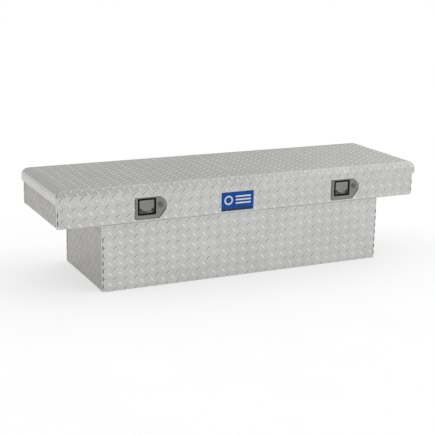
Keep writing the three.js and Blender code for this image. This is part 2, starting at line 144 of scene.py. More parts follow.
class Nodes:
    """Small helper that fills the node tree of a material or of the world."""

    def __init__(self, owner, output):
        owner.use_nodes = True
        self.owner = owner
        self.tree = owner.node_tree
        self.tree.nodes.clear()
        self.output = self.add(output)
        self.coords = self.add("ShaderNodeTexCoord")

    def add(self, kind, **settings):
        node = self.tree.nodes.new(kind)
        for key, value in settings.items():
            setattr(node, key, value)
        return node

    def link(self, source, out_name, target, in_name):
        self.tree.links.new(source.outputs[out_name], target.inputs[in_name])

    def fill(self, node, **values):
        for name, value in values.items():
            node.inputs[name.replace("_", " ")].default_value = value

    def noise(self, scale, detail, stretch=(1, 1, 1)):
        mapping = self.add("ShaderNodeMapping")
        self.fill(mapping, Scale=stretch)
        self.link(self.coords, "Object", mapping, "Vector")
        texture = self.add("ShaderNodeTexNoise")
        self.fill(texture, Scale=scale, Detail=detail, Roughness=0.55)
        self.link(mapping, "Vector", texture, "Vector")
        return texture

    def ramp(self, source, out_name, stops):
        ramp = self.add("ShaderNodeValToRGB")
        points = ramp.color_ramp.elements
        while len(points) < len(stops):
            points.new(0.5)
        for point, (position, colour) in zip(points, stops):
            point.position = position
            point.color = (*colour, 1)
        self.link(source, out_name, ramp, "Fac")
        return ramp

    def spread(self, source, out_name, low, high, start=0.3, stop=0.7):
        """Maps start to stop onto low to high."""
        node = self.add("ShaderNodeMapRange")
        self.fill(node, From_Min=start, From_Max=stop, To_Min=low, To_Max=high)
        self.link(source, out_name, node, "Value")
        return node

    def mix(self, factor, factor_out, first, first_out, second, second_out):
        node = self.add("ShaderNodeMix", data_type="RGBA")
        for socket, source, out_name in (
            (0, factor, factor_out), (MIX_A, first, first_out), (MIX_B, second, second_out),
        ):
            if out_name is None:
                node.inputs[socket].default_value = source
            else:
                self.link(source, out_name, node, socket)
        return node


class Surface(Nodes):
    """A new material with one shader."""

    def __init__(self, name):
        super().__init__(bpy.data.materials.new(name), "ShaderNodeOutputMaterial")
        self.shader = self.add("ShaderNodeBsdfPrincipled")
        self.link(self.shader, "BSDF", self.output, "Surface")

    def bump(self, source, out_name, strength, distance):
        node = self.add("ShaderNodeBump")
        self.fill(node, Strength=strength, Distance=distance)
        self.link(source, out_name, node, "Height")
        self.link(node, "Normal", self.shader, "Normal")


def sheet_metal(name, dark, light, rough, grain, tread=False):
    """Rolled or brushed metal: cloudy colour, mill lines along the sheet and fine scratches."""
    n = Surface(name)
    cloud = n.noise(scale=7, detail=5)
    lines = n.noise(scale=60, detail=3, stretch=grain)
    blend = n.mix(0.35, None, cloud, "Color", lines, "Color")
    tone = n.ramp(blend, MIX_RESULT, [(0.3, dark), (0.7, light)])
    n.link(tone, "Color", n.shader, "Base Color")
    smear = n.noise(scale=22, detail=4, stretch=(1, 1, 1.6))
    finish = n.spread(smear, "Fac", *rough)
    n.link(finish, "Result", n.shader, "Roughness")
    if tread:
        crown = n.add("ShaderNodeAttribute", attribute_name="lug")
        bright = tuple(c * LUG_SHINE for c in light)
        shown = n.mix(crown, "Fac", tone, "Color", (*bright, 1), None)
        n.link(shown, MIX_RESULT, n.shader, "Base Color")
        polished = n.add("ShaderNodeMath", operation="MULTIPLY_ADD")
        n.link(crown, "Fac", polished, 0)
        polished.inputs[1].default_value = LUG_POLISH
        n.link(finish, "Result", polished, 2)
        n.link(polished, "Value", n.shader, "Roughness")
    scratches = n.noise(scale=900, detail=2, stretch=grain)
    n.bump(scratches, "Fac", strength=0.12, distance=0.04 * MM)
    n.fill(n.shader, Metallic=1.0)
    return n.owner


def coated(name, dark, light, rough, grain_scale, bump, coat=0.0, shine=0.5):
    """Paint, rubber or foam: two close colours in patches, and a fine grain."""
    n = Surface(name)
    patches = n.noise(scale=16, detail=5)
    tone = n.ramp(patches, "Fac", [(0.32, dark), (0.68, light)])
    n.link(tone, "Color", n.shader, "Base Color")
    smear = n.noise(scale=55, detail=3)
    finish = n.spread(smear, "Fac", *rough)
    n.link(finish, "Result", n.shader, "Roughness")
    grain = n.noise(grain_scale, detail=3)
    n.bump(grain, "Fac", bump, distance=0.2 * MM)
    n.fill(n.shader, Coat_Weight=coat, Specular_IOR_Level=shine)
    return n.owner


# dark and light tone, lowest and highest roughness, stretch of the mill lines, raised bars or none
METALS = {
    "tread_sheet": ((0.50, 0.50, 0.49), (0.62, 0.62, 0.605), (0.28, 0.42), (1, 1, 9), True),
    # the same tread metal made darker for the box ends: painted shade
    "tread_sheet_end": ((0.335, 0.332, 0.312), (0.420, 0.416, 0.392), (0.32, 0.46), (1, 1, 9), True),
    "hinge_stainless": ((0.42, 0.42, 0.41), (0.52, 0.52, 0.51), (0.28, 0.40), (1, 14, 14)),
    "weld_bead": ((0.12, 0.12, 0.115), (0.20, 0.20, 0.19), (0.40, 0.55), (3, 3, 3)),
    "plain_sheet": ((0.60, 0.60, 0.60), (0.70, 0.70, 0.69), (0.34, 0.48), (1, 9, 9)),
    "stainless": ((0.20, 0.20, 0.185), (0.28, 0.28, 0.26), (0.24, 0.36), (1, 14, 14)),
    "zinc_steel": ((0.34, 0.35, 0.36), (0.46, 0.46, 0.44), (0.36, 0.52), (3, 3, 3)),
    # chrome made very dark: painted shade on the lock barrel and plug
    "chrome_lock": ((0.13, 0.13, 0.13), (0.19, 0.19, 0.19), (0.16, 0.26), (2, 2, 2)),
    # the latch pocket's stainless made much lighter: painted light against the shade in the pocket
    "latch_dish": ((0.72, 0.72, 0.70), (0.86, 0.86, 0.84), (0.50, 0.66), (3, 3, 3)),
    "chrome_rod": ((0.52, 0.53, 0.55), (0.66, 0.66, 0.67), (0.06, 0.14), (2, 2, 2)),
}
# dark and light tone, lowest and highest roughness, scale and depth of the grain, clear coat, shine
COATINGS = {
    "seal_rubber": ((0.003, 0.003, 0.003), (0.007, 0.007, 0.008), (0.72, 0.92), 700, 0.25, 0.0, 0.12),
    "lid_foam": ((0.56, 0.49, 0.33), (0.70, 0.63, 0.46), (0.92, 1.0), 260, 0.9),
    "black_enamel": ((0.010, 0.010, 0.011), (0.022, 0.022, 0.024), (0.22, 0.34), 240, 0.10, 0.4),
    "nameplate_enamel": ((0.001, 0.060, 0.34), (0.003, 0.095, 0.44), (0.34, 0.46), 300, 0.05, 0.0, 0.15),
    "nameplate_white": ((0.74, 0.74, 0.74), (0.86, 0.86, 0.86), (0.34, 0.45), 300, 0.05),
    "nameplate_black": ((0.010, 0.010, 0.012), (0.020, 0.020, 0.022), (0.34, 0.45), 300, 0.05),
}
LOOK = {name: sheet_metal(name, *values) for name, values in METALS.items()}
LOOK |= {name: coated(name, *values) for name, values in COATINGS.items()}


# ---- outlines ----
def steps_round(loop):
    """Each item of a closed loop with the next one."""
    return zip(loop, loop[1:] + loop[:1])


def arc(u, v, radius, start, sweep, steps):
    """Points on an arc, both ends included; angles in degrees."""
    angles = [math.radians(start + sweep * i / steps) for i in range(steps + 1)]
    return [(u + radius * math.cos(angle), v + radius * math.sin(angle)) for angle in angles]


def circle(u, v, radius, steps=24):
    return arc(u, v, radius, 0, 360, steps)[:-1]


def rectangle(u0, u1, v0, v1):
    return [(u0, v0), (u1, v0), (u1, v1), (u0, v1)]


def rounded_rectangle(u0, u1, v0, v1, radius, steps=4):
    middles = rectangle(u0 + radius, u1 - radius, v0 + radius, v1 - radius)
    points = []
    for (u, v), start in zip(middles, (180, 270, 0, 90)):
        points += arc(u, v, radius, start, 90, steps)
    return points


def stadium(u, v, length, width, steps=6):
    """Rounded bar outline, lengthwise along u."""
    shift = (length - width) / 2
    right = arc(u + shift, v, width / 2, -90, 180, steps)
    return right + arc(u - shift, v, width / 2, 90, 180, steps)


# ---- mesh building ----
def new_object(name, data):
    made = bpy.data.objects.new(name, data)
    bpy.context.scene.collection.objects.link(made)
    return made


class Shell:
    """Vertices in millimetres with their share of the lug height, and faces with their look."""

    def __init__(self):
        self.points = []
        self.lug = []
        self.faces = []
        self.looks = []

    def point(self, place, lug=0.0):
        self.points.append(Vector(place))
        self.lug.append(lug)
        return len(self.points) - 1

    def face(self, corners, look=0):
        if len(set(corners)) == len(corners) and len(corners) > 2:
            self.faces.append(tuple(corners))
            self.looks.append(look)

    def loft(self, rings, closed=True, look=0):
        """Quads between rings of vertex numbers."""
        for a, b in zip(rings, rings[1:]):
            count = len(a) if closed else len(a) - 1
            for i in range(count):
                j = (i + 1) % len(a)
                self.face((a[i], a[j], b[j], b[i]), look)

    def tube(self, rings):
        """Closed solid through rings of places, capped at both ends."""
        loops = [[self.point(p) for p in ring] for ring in rings]
        self.loft(loops)
        self.face(loops[0][::-1])
        self.face(loops[-1])

    def make(self, name, body, slot, replaced=(), looks=None, smooth=30):
        mesh = bpy.data.meshes.new(name)
        mesh.from_pydata([tuple(p * MM) for p in self.points], [], self.faces)
        for polygon, look in zip(mesh.polygons, self.looks):
            polygon.material_index = look
        height = mesh.attributes.new("lug", "FLOAT", "POINT")
        height.data.foreach_set("value", self.lug)
        for look in looks or [slot]:
            mesh.materials.append(LOOK[look])
        return weighted_normals(place(name, mesh, body, slot, replaced, smooth))


def weighted_normals(piece):
    normals = piece.modifiers.new("face weighted normals", "WEIGHTED_NORMAL")
    normals.keep_sharp = True
    return piece


def place(name, mesh, body, slot, replaced, smooth):
    """Cleans the mesh up and makes it a piece that rides on its body."""
    bm = bmesh.new()
    bm.from_mesh(mesh)
    bmesh.ops.remove_doubles(bm, verts=bm.verts, dist=1e-7)
    bmesh.ops.recalc_face_normals(bm, faces=bm.faces)
    bm.to_mesh(mesh)
    bm.free()
    mesh.shade_smooth()
    mesh.set_sharp_from_angle(angle=math.radians(smooth))
    piece = new_object(name, mesh)
    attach(piece, body)
    if replaced:
        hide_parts(*replaced)
    return piece


# ---- tread sheet ----
def lens(length, width, steps):
    """Pointed bar seen from above, lengthwise along u, counter-clockwise."""
    half = length / 2
    rise = width / 2
    radius = (half * half + rise * rise) / (2 * rise)
    span = math.asin(half / radius)
    upper = []
    for i in range(steps):
        angle = span * (1 - 2 * i / steps)
        upper.append((radius * math.sin(angle), rise - radius + radius * math.cos(angle)))
    return upper + [(-u, -v) for u, v in upper]


class Tread:
    """Lattice of raised bars on one flat region: bars up to the right, and between them bars down."""

    RINGS = ((0, 0, 6, 0.0), (3.6, 3.2, 6, 0.82), (9, 6, 4, 1.0))   # shorter, narrower, steps, height
    ROWS = range(-80, 80)
    SPILL = (14, 12)            # a bar whose middle is this far outside can still reach in
    EDGE_GAP = 0.7              # flat kept beside the region's edge, and more of it at each ring up
    RING_GAP = 0.8
    SMALLEST = 3                # area of the smallest ring that is kept

    def __init__(self, lattice, swap=False, keep_out=(), margin=(0, 0, 0, 0), length=31, width=8.4):
        self.pitch, self.phase = lattice
        self.tilt = -LUG_ANGLE if swap else LUG_ANGLE
        self.keep_out = keep_out
        self.margin = margin
        self.rings = []
        for shorter, narrower, steps, height in self.RINGS:
            self.rings.append((lens(length - shorter, width - narrower, steps), height))

    def bars(self, low, high):
        spill_u, spill_v = self.SPILL
        for row in self.ROWS:
            for half in (0, 0.5):
                v = self.phase[1] + (row + half) * self.pitch[1]
                if not low[1] - spill_v < v < high[1] + spill_v:
                    continue
                for column in self.ROWS:
                    u = self.phase[0] + (column + half) * self.pitch[0]
                    blocked = any(a < u < b and c < v < d for a, b, c, d in self.keep_out)
                    if low[0] - spill_u < u < high[0] + spill_u and not blocked:
                        yield u, v, self.tilt if half == 0 else -self.tilt

    def contours(self, region):
        """Rings of every bar, clipped to the region, as (outline, height)."""
        low = [min(p[i] for p in region) for i in (0, 1)]
        high = [max(p[i] for p in region) for i in (0, 1)]
        a, b, c, d = self.margin
        limit = rectangle(low[0] + a, high[0] - b, low[1] + c, high[1] - d)
        for u, v, tilt in self.bars(low, high):
            cos, sin = math.cos(tilt), math.sin(tilt)
            for level, (ring, height) in enumerate(self.rings):
                outline = [(u + x * cos - y * sin, v + x * sin + y * cos) for x, y in ring]
                inset = self.EDGE_GAP + self.RING_GAP * level
                outline = clip(clip(outline, region, inset), limit, inset)
                if len(outline) < 3 or area(outline) < self.SMALLEST:
                    break
                yield outline, height


def area(outline):
    return sum(a * d - b * c for (a, b), (c, d) in steps_round(outline)) / 2


def clip(outline, region, inset):
    """Convex outline cut back to a convex region drawn in by inset."""
    for (ax, ay), (bx, by) in steps_round(region):
        length = math.hypot(bx - ax, by - ay)
        nx, ny = -(by - ay) / length, (bx - ax) / length
        reach = nx * ax + ny * ay + inset
        kept = []
        for p, q in steps_round(outline):
            dp = nx * p[0] + ny * p[1] - reach
            dq = nx * q[0] + ny * q[1] - reach
            if dp >= 0:
                kept.append(p)
            if dp * dq < 0:
                t = dp / (dp - dq)
                kept.append((p[0] + t * (q[0] - p[0]), p[1] + t * (q[1] - p[1])))
        outline = kept
        if len(outline) < 3:
            return []
    cleaned = []
    for p in outline:
        if not cleaned or math.dist(p, cleaned[-1]) > SAME_POINT:
            cleaned.append(p)
    if len(cleaned) > 1 and math.dist(cleaned[0], cleaned[-1]) < SAME_POINT:
        cleaned.pop()
    return cleaned


def plane_axes(normal):
    """Directions of u and v on a face: u to the right and v up, seen from outside."""
    lies_flat = abs(normal.z) > 0.95
    if lies_flat:
        u = (Vector((1, 0, 0)) - normal * normal.x).normalized()
        return u, normal.cross(u)
    v = Vector((0, 0, 1))
    v = (v - normal * v.dot(normal)).normalized()
    return v.cross(normal), v


def flat_region(shell, outline, holes, normal, offset, tread, height=LUG_HEIGHT):
    """Meshes one flat region; returns the vertex numbers of its outline and of each hole."""
    u_axis, v_axis = plane_axes(normal)
    flat = [(p.dot(u_axis), p.dot(v_axis)) for p in outline]
    if area(flat) < 0:
        raise ValueError("outline runs clockwise")
    outlines = [flat, *holes]
    rises = [0.0] * sum(len(outline) for outline in outlines)
    if tread:
        for ring, rise in tread.contours(flat):
            outlines.append(ring)
            rises += [rise] * len(ring)
    coords, triangles, origins, inside = triangulate(outlines)
    number = {}
    made = []
    for spot, sources in zip(coords, origins):
        rise = max((rises[s] for s in sources), default=0.0)
        lifted = u_axis * spot.x + v_axis * spot.y + normal * (offset + rise * height)
        made.append(shell.point(lifted, rise))
        for s in sources:
            number[s] = made[-1]
    add_triangles(shell, triangles, inside, made, len(holes))
    loops = numbered(outlines[:1 + len(holes)])
    return [[number[i] for i in loop] for loop in loops]


def numbered(outlines):
    """Numbers for the points of all outlines together, as one list for each outline."""
    loops, count = [], 0
    for outline in outlines:
        loops.append(list(range(count, count + len(outline))))
        count += len(outline)
    return loops


def triangulate(outlines):
    """Flat triangles between outlines, and for each point and triangle where it comes from."""
    flat = [Vector(p) for outline in outlines for p in outline]
    coords, _, triangles, origins, _, inside = delaunay_2d_cdt(flat, [], numbered(outlines), 1, 1e-4)
    return coords, triangles, origins, inside


def add_triangles(shell, triangles, inside, made, hole_count, look=0):
    """Adds the triangles that are in none of the holes; the holes follow the first outline."""
    blocked = set(range(1, 1 + hole_count))
    for triangle, outlines in zip(triangles, inside):
        if not blocked.intersection(outlines):
            shell.face([made[i] for i in triangle], look)


def normal_of(corners):
    return sum((a.cross(b) for a, b in steps_round(corners)), Vector()).normalized()


def normals_of(corners, polygons):
    return [normal_of([corners[i] for i in polygon]) for polygon in polygons]


def bend_reach(edge_of, normals, edge, fold):
    """Flat lost beside an edge: none on a cut edge, little at a slight bend."""
    if edge[::-1] not in edge_of:
        return 0.0
    slight = normals[edge_of[edge]].dot(normals[edge_of[edge[::-1]]]) > SLIGHT_BEND
    return SLIGHT_SHARE * fold if slight else fold


def drawn_in_corners(corners, polygon, normal, reach):
    """Corners of one flat, drawn in by what the edges on both sides of each lose."""
    inward = []
    for a, b in steps_round(polygon):
        along = (corners[b] - corners[a]).normalized()
        inward.append((along, normal.cross(along), reach[(a, b)]))
    drawn_in = {}
    for k, v in enumerate(polygon):
        (da, ia, ra), (db, ib, rb) = inward[k - 1], inward[k]
        if da.cross(db).length < 1e-6:
            drawn_in[v] = corners[v] + ib * rb
        else:
            drawn_in[v] = corners[v] + da * (rb / ib.dot(da)) + db * (ra / ia.dot(db))
    return drawn_in


def round_bends(shell, corners, edge_of, normals, reach, sides):
    """Joins the flats on both sides of each bend over a middle row, and returns the rows."""
    middles = {}
    for (a, b), f in edge_of.items():
        if (b, a) not in edge_of or (b, a) in middles:
            continue
        near, far = sides[(a, b)], sides[(b, a)][::-1]
        half_cos = math.sqrt((1 + normals[f].dot(normals[edge_of[(b, a)]])) / 2)
        outward = normals[f].cross((corners[b] - corners[a]).normalized()) * -reach[(a, b)]
        row = []
        for p, q in zip(near, far):
            sharp = shell.points[p] + outward
            chord = (shell.points[p] + shell.points[q]) / 2
            row.append(shell.point(sharp.lerp(chord, 1 / (1 + half_cos))))
        middles[(a, b)] = row
        middles[(b, a)] = row[::-1]
        shell.loft([near, row, far], closed=False)
    return middles


def cap_corners(shell, polygons, edge_of, sides, middles):
    """Closes the gap at each corner that has bends all the way round it."""
    for v in {i for polygon in polygons for i in polygon}:
        start = next(edge for edge in edge_of if edge[0] == v)
        ring, edge = [], start
        while edge is not None:
            ring.append(sides[edge][0])
            polygon = polygons[edge_of[edge]]
            back = (v, polygon[polygon.index(v) - 1])
            if back not in edge_of:
                break
            ring.append(middles[back][0])
            edge = back if back != start else None
        else:
            centre = shell.point(sum((shell.points[i] for i in ring), Vector()) / len(ring))
            for p, q in steps_round(ring):
                shell.face((p, q, centre))


def fold_surface(shell, corners, polygons, fold, treads, holes):
    """One side of a folded sheet: flat regions joined by rounded bends and corner caps."""
    edge_of = {edge: f for f, polygon in enumerate(polygons) for edge in steps_round(polygon)}
    normals = normals_of(corners, polygons)
    reach = {edge: bend_reach(edge_of, normals, edge, fold) for edge in edge_of}
    sides, hole_loops = {}, []
    for f, polygon in enumerate(polygons):
        drawn_in = drawn_in_corners(corners, polygon, normals[f], reach)
        outline, marks = [], {}
        for a, b in steps_round(polygon):
            steps = max(1, round((corners[b] - corners[a]).length / EDGE_STEP))
            marks[(a, b)] = (len(outline), steps)
            for i in range(steps):
                outline.append(drawn_in[a].lerp(drawn_in[b], i / steps))
        loops = flat_region(shell, outline, holes.get(f, []), normals[f],
                            corners[polygon[0]].dot(normals[f]), treads.get(f))
        for edge, (start, steps) in marks.items():
            sides[edge] = [loops[0][(start + i) % len(outline)] for i in range(steps + 1)]
        hole_loops += loops[1:]
    middles = round_bends(shell, corners, edge_of, normals, reach, sides)
    cap_corners(shell, polygons, edge_of, sides, middles)
    return edge_of, sides, middles, hole_loops


def folded_sheet(name, corners, polygons, body, replaced, treads, holes=(), looks=None):
    """A tread sheet bent along the shared edges of its polygons, with both sides and its cut edges."""
    shell = Shell()
    corners = [Vector(c) for c in corners]
    holes = dict(holes)
    outer = fold_surface(shell, corners, polygons, FOLD, treads, holes)
    normals = normals_of(corners, polygons)
    drawn_in = []
    for v, corner in enumerate(corners):
        around = [normals[f] for f, polygon in enumerate(polygons) if v in polygon]
        drawn_in.append(corner + step_inside(around, SHEET))
    inner = fold_surface(shell, drawn_in, polygons, FOLD - SHEET, {}, holes)
    edge_of, sides, _, hole_loops = outer
    for (a, b) in edge_of:
        if (b, a) not in edge_of:
            shell.loft([sides[(a, b)], inner[1][(a, b)]], closed=False)
            continue
        polygon = polygons[edge_of[(a, b)]]
        before = polygon[polygon.index(a) - 1]
        opposite = polygons[edge_of[(b, a)]]
        after = opposite[(opposite.index(a) + 1) % len(opposite)]
        if (before, a) in edge_of and (a, before) not in edge_of and (after, a) not in edge_of:
            ends = [(s[(a, b)][0], m[(a, b)][0], s[(b, a)][-1]) for _, s, m, _ in (outer, inner)]
            shell.loft(ends, closed=False)
    for a, b in zip(hole_loops, inner[3]):
        shell.loft([a, b])
    return shell.make(name, body, "tread_sheet", replaced, looks)


def step_inside(normals, distance):
    """Shortest step that goes distance behind every one of these planes."""
    unique = []
    for n in normals:
        if all(n.dot(m) < 0.9999 for m in unique):
            unique.append(n)
    if len(unique) == 1:
        return unique[0] * -distance
    if len(unique) == 2:
        total = unique[0] + unique[1]
        return total * (-distance / (1 + unique[0].dot(unique[1])))
    rows = Matrix([list(n) for n in unique[:3]])
    return rows.inverted() @ Vector((-distance,) * 3)


# ---- tub and lid sheets ----
def lid_shell():
    """Skirt, bevel and top of the lid, bent from one sheet. The ends roll over in three steps."""
    rise = LID_HIGH.z - CREASE_Z
    crown_x = LID_HIGH.x - BEVEL_END
    levels = [(LID_HIGH.x, LID_LOW.y, LID_HIGH.y, LID_LOW.z)]
    for angle in (0, 30, 60, 90):
        lift = math.sin(math.radians(angle))
        levels.append((
            crown_x + BEVEL_END * math.cos(math.radians(angle)),
            LID_LOW.y + BEVEL_FRONT * lift,
            LID_HIGH.y - BEVEL_REAR * lift,
            CREASE_Z + rise * lift,
        ))
    corners = []
    for x, near, far, z in levels:
        corners += [(-x, near, z), (x, near, z), (x, far, z), (-x, far, z)]
    # corners 0 to 3 are the skirt's foot, 4 to 7 the crease, 16 to 19 the top; here the top comes first,
    # then the skirt's front and rear, the bevel's front and rear, and the ends from the foot up
    polygons = [[16, 17, 18, 19], [0, 1, 5, 4], [2, 3, 7, 6]]
    polygons.append([4, 5, 9, 13, 17, 16, 12, 8])
    polygons.append([6, 7, 11, 15, 19, 18, 14, 10])
    for low in range(0, 16, 4):
        polygons.append([low + 1, low + 2, low + 6, low + 5])
        polygons.append([low + 3, low, low + 4, low + 7])
    treads = {0: Tread((LID_PITCH, (10, LID_LOW.y + 9)))}
    slope = math.hypot(rise, BEVEL_FRONT)
    for f, polygon in enumerate(polygons[1:], start=1):
        normal = normal_of([Vector(corners[i]) for i in polygon])
        _, v_axis = plane_axes(normal)
        base = Vector(corners[polygon[0]]).dot(v_axis)
        along_front = abs(normal.y) > abs(normal.x)
        if along_front:
            skirt = 0 if f in (3, 4) else slope
            treads[f] = Tread((LID_PITCH, (10, base + slope - 4 + skirt)))
        else:
            treads[f] = Tread((LID_PITCH[::-1], (-4, base + 8)), swap=True, length=24, width=7)
    folded_sheet("lid_shell", corners, polygons, "lid", ["lid_skin"], treads)


def wrapped_panel(name, nodes, z_low, z_high, half, y, sign, lattice, holes=(), keep_out=()):
    """Front or rear sheet with a return bent round each end. sign is -1 for the front."""
    end = half + SHEET
    back = y - sign * (RETURN + SHEET)
    corners = []
    for z in (z_low, z_high):
        corners += [(-end, back, z), (-end, y, z), (end, y, z), (end, back, z)]
    polygons = facing([[0, 1, 5, 4], [1, 2, 6, 5], [2, 3, 7, 6]], -sign)
    treads = {1: Tread(lattice, keep_out=keep_out)}
    folded_sheet(name, corners, polygons, "tub", nodes, treads, {1: list(holes)})


def facing(polygons, sign):
    """The polygons as they are, or turned over for the mirrored side, where sign is -1."""
    return polygons if sign > 0 else [polygon[::-1] for polygon in polygons]


def plate(name, node, outline, tread, looks=None):
    """Flat sheet without bends. outline runs counter-clockwise seen from outside."""
    folded_sheet(name, outline, [list(range(len(outline)))], "tub", [node], {0: tread}, looks=looks)


def tub_sheets():
    lower = (LOWER_LOW.z, LOWER_HIGH.z - SEAM, LOWER_HIGH.x)
    wrapped_panel("lower_front_sheet", ["lower_front_panel"], *lower, FRONT_Y, -1, FRONT_LATTICE)
    wrapped_panel("lower_rear_sheet", ["lower_rear_panel"], *lower, REAR_Y, 1, FRONT_LATTICE)
    covered, holes = [], []     # no bar has its middle under the latch plates or the nameplate
    u0, u1, v0, v1 = POCKET_HOLE
    for x in LATCH_X:
        covered.append((x + PLATE_LEFT + 5, x + PLATE_RIGHT - 5, PLATE_LOW.z + 5, PLATE_HIGH.z))
        holes += [rectangle(x + u0, x + u1, v0, v1), circle(x + LOCK_X, LOCK_Z, LOCK_HOLE)]
    name_low, name_high = cad("nameplate")
    covered.append((name_low.x + 6, name_high.x - 6, name_low.z + 4, name_high.z - 4))
    lengths = [f"{part}_tray_front" for part in ("left", "middle", "right")]
    upper = (SHOULDER_Z, TRAY_HIGH.z, TRAY_HIGH.x)
    wrapped_panel("tray_front_sheet", lengths, *upper, FRONT_Y, -1, TRAY_LATTICE, holes, covered)
    wrapped_panel("tray_rear_sheet", ["upper_rear_panel"], *upper, REAR_Y, 1, TRAY_LATTICE)
    floor_tread = Tread(FLOOR_LATTICE, margin=(3, 3, 3, 3))
    for side, sign in SIDES:
        end_sheets(side, sign, floor_tread)
    low, high = cad("floor_panel")
    ring = [(x, y, low.z + LUG_HEIGHT) for x, y in rectangle(low.x, high.x, low.y, high.y)[::-1]]
    plate("floor_sheet", "floor_panel", ring, floor_tread)


def end_sheets(side, sign, floor_tread):
    """Lower end, and the saddle sheet that runs over the bed rail and up the end of the tray, both in the
    darker copy of the tread metal, which paints shade on the ends.
    """
    margin = (RETURN + 3, RETURN + 3, 0, 0)
    low, high = cad(f"{side}_lower_end")
    x = low.x if sign < 0 else high.x
    ring = [(x, y, z) for y, z in rectangle(low.y, high.y, low.z, high.z)]
    tread = Tread((FRONT_LATTICE[0], (-8, 30)), swap=True, margin=margin)
    plate(f"{side}_lower_end_sheet", f"{side}_lower_end", ring[::sign], tread, ["tread_sheet_end"])
    low, high = cad(f"{side}_saddle_pan")
    outer, inner = (low.x, high.x) if sign < 0 else (high.x, low.x)
    corners = [
        (outer, low.y, low.z), (outer, high.y, low.z), (outer, high.y, high.z),
        (outer, low.y, high.z), (inner, low.y, low.z), (inner, high.y, low.z),
    ]
    treads = {0: Tread((TRAY_LATTICE[0], (-8, 327)), swap=True, margin=margin), 1: floor_tread}
    folded_sheet(f"{side}_saddle_sheet", corners, facing([[0, 1, 2, 3], [1, 0, 4, 5]], sign), "tub",
                 [f"{side}_saddle_pan"], treads, looks=["tread_sheet_end"])


def weld_beads():
    """Short runs of weld down the corners, where the end sheets meet the front and rear."""
    shell = Shell()
    run, step = 34, 4
    from_corner = 0.8
    corner_lines = (
        ("left_lower_end", 14, LOWER_HIGH.z - 12),
        ("left_saddle_pan", SHOULDER_Z + 14, LID_LOW.z),
    )
    for node, z0, z1 in corner_lines:
        corner_x = -cad(node)[0].x - from_corner
        for sign in (-1, 1):
            for y in (FRONT_Y + from_corner, REAR_Y - from_corner):
                for k in range(int((z1 - z0) / run)):
                    rows = []
                    for i in range(7):
                        radius = 0.5 + 2.0 * math.sqrt(math.sin(math.pi * i / 6))
                        z = z0 + run * k + step * i
                        rows.append([(u, v, z) for u, v in circle(sign * corner_x, y, radius, 8)])
                    shell.tube(rows)
    shell.make("weld_beads", "tub", "tread_sheet", looks=["weld_bead"], smooth=60)


# ---- camera, floor and light ----
EYE = Vector((-2120.0, -4286.7, 1465.7))
EYE_TURN = (26.004, -14.804, 1.168)     # yaw, pitch and roll, in degrees
KEY_TOWARD = (0.30, -0.10, 0.95)
KEY_STRENGTH = 0.5
KEY_SPREAD = 120
WORLD_STRENGTH = 0.98
# middle of a darker zone, cosine where it begins and where it is deepest, and its light there
WORLD_ZONES = [
    ((-0.45, -0.74, 0.50), 0.52, 0.90, 0.10),
    ((0.00, 0.94, 0.33), 0.70, 0.90, 0.62),
    ((-0.05, 0.25, 0.97), 0.80, 0.97, 0.55),
]


def camera():
    data = bpy.data.cameras.new("camera")
    data.sensor_width = 36
    data.lens = 87.53
    data.clip_end = 100
    eye = new_object("camera", data)
    yaw, pitch, roll = (math.radians(a) for a in EYE_TURN)
    turn = Matrix.Rotation(-yaw, 4, "Z") @ Matrix.Rotation(math.pi / 2 + pitch, 4, "X")
    eye.matrix_world = Matrix.Translation(EYE * MM) @ turn @ Matrix.Rotation(roll, 4, "Z")
    bpy.context.scene.camera = eye


def world():
    """Bright surround with three darker zones that shade the faces; plain white seen directly."""
    n = Nodes(bpy.data.worlds.new("studio"), "ShaderNodeOutputWorld")
    strength = None
    for direction, start, stop, depth in WORLD_ZONES:
        aim = n.add("ShaderNodeVectorMath", operation="DOT_PRODUCT")
        n.link(n.coords, "Generated", aim, 0)
        aim.inputs[1].default_value = Vector(direction).normalized()
        zone = n.spread(aim, "Value", 1, depth, start, stop)
        zone.interpolation_type = "SMOOTHSTEP"
        product = n.add("ShaderNodeMath", operation="MULTIPLY")
        n.link(zone, "Result", product, 0)
        if strength:
            n.link(strength, "Value", product, 1)
        else:
            product.inputs[1].default_value = WORLD_STRENGTH
        strength = product
    surround = n.add("ShaderNodeBackground")
    n.fill(surround, Color=(1, 1, 0.995, 1))
    n.link(strength, "Value", surround, "Strength")
    seen = n.add("ShaderNodeBackground")
    n.fill(seen, Color=(1, 1, 1, 1))
    path = n.add("ShaderNodeLightPath")
    mix = n.add("ShaderNodeMixShader")
    n.link(path, "Is Camera Ray", mix, 0)
    n.link(surround, "Background", mix, 1)
    n.link(seen, "Background", mix, 2)
    n.link(mix, "Shader", n.output, "Surface")
    bpy.context.scene.world = n.owner


def floor():
    """Wide pale floor, partly lit by itself so that its shadow stays as weak as the photo's."""
    bm = bmesh.new()
    bmesh.ops.create_grid(bm, x_segments=2, y_segments=2, size=14)
    mesh = bpy.data.meshes.new("studio_floor")
    bm.to_mesh(mesh)
    bm.free()
    n = Surface("studio_floor")
    mottle = n.noise(scale=3, detail=2)
    tone = n.ramp(mottle, "Fac", [(0.3, (0.54, 0.54, 0.54)), (0.7, (0.56, 0.56, 0.56))])
    n.link(tone, "Color", n.shader, "Base Color")
    n.fill(n.shader, Roughness=0.9, Emission_Color=(1, 1, 1, 1), Emission_Strength=0.56)
    mesh.materials.append(n.owner)
    ground = new_object("studio_floor", mesh)
    ground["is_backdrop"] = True


def key_light():
    """Weak, very wide sun, so that the whole floor is equally bright."""
    data = bpy.data.lights.new("key", "SUN")
    data.energy = KEY_STRENGTH
    data.angle = math.radians(KEY_SPREAD)
    light = new_object("key", data)
    light.rotation_euler = Vector(KEY_TOWARD).to_track_quat("Z", "Y").to_euler()


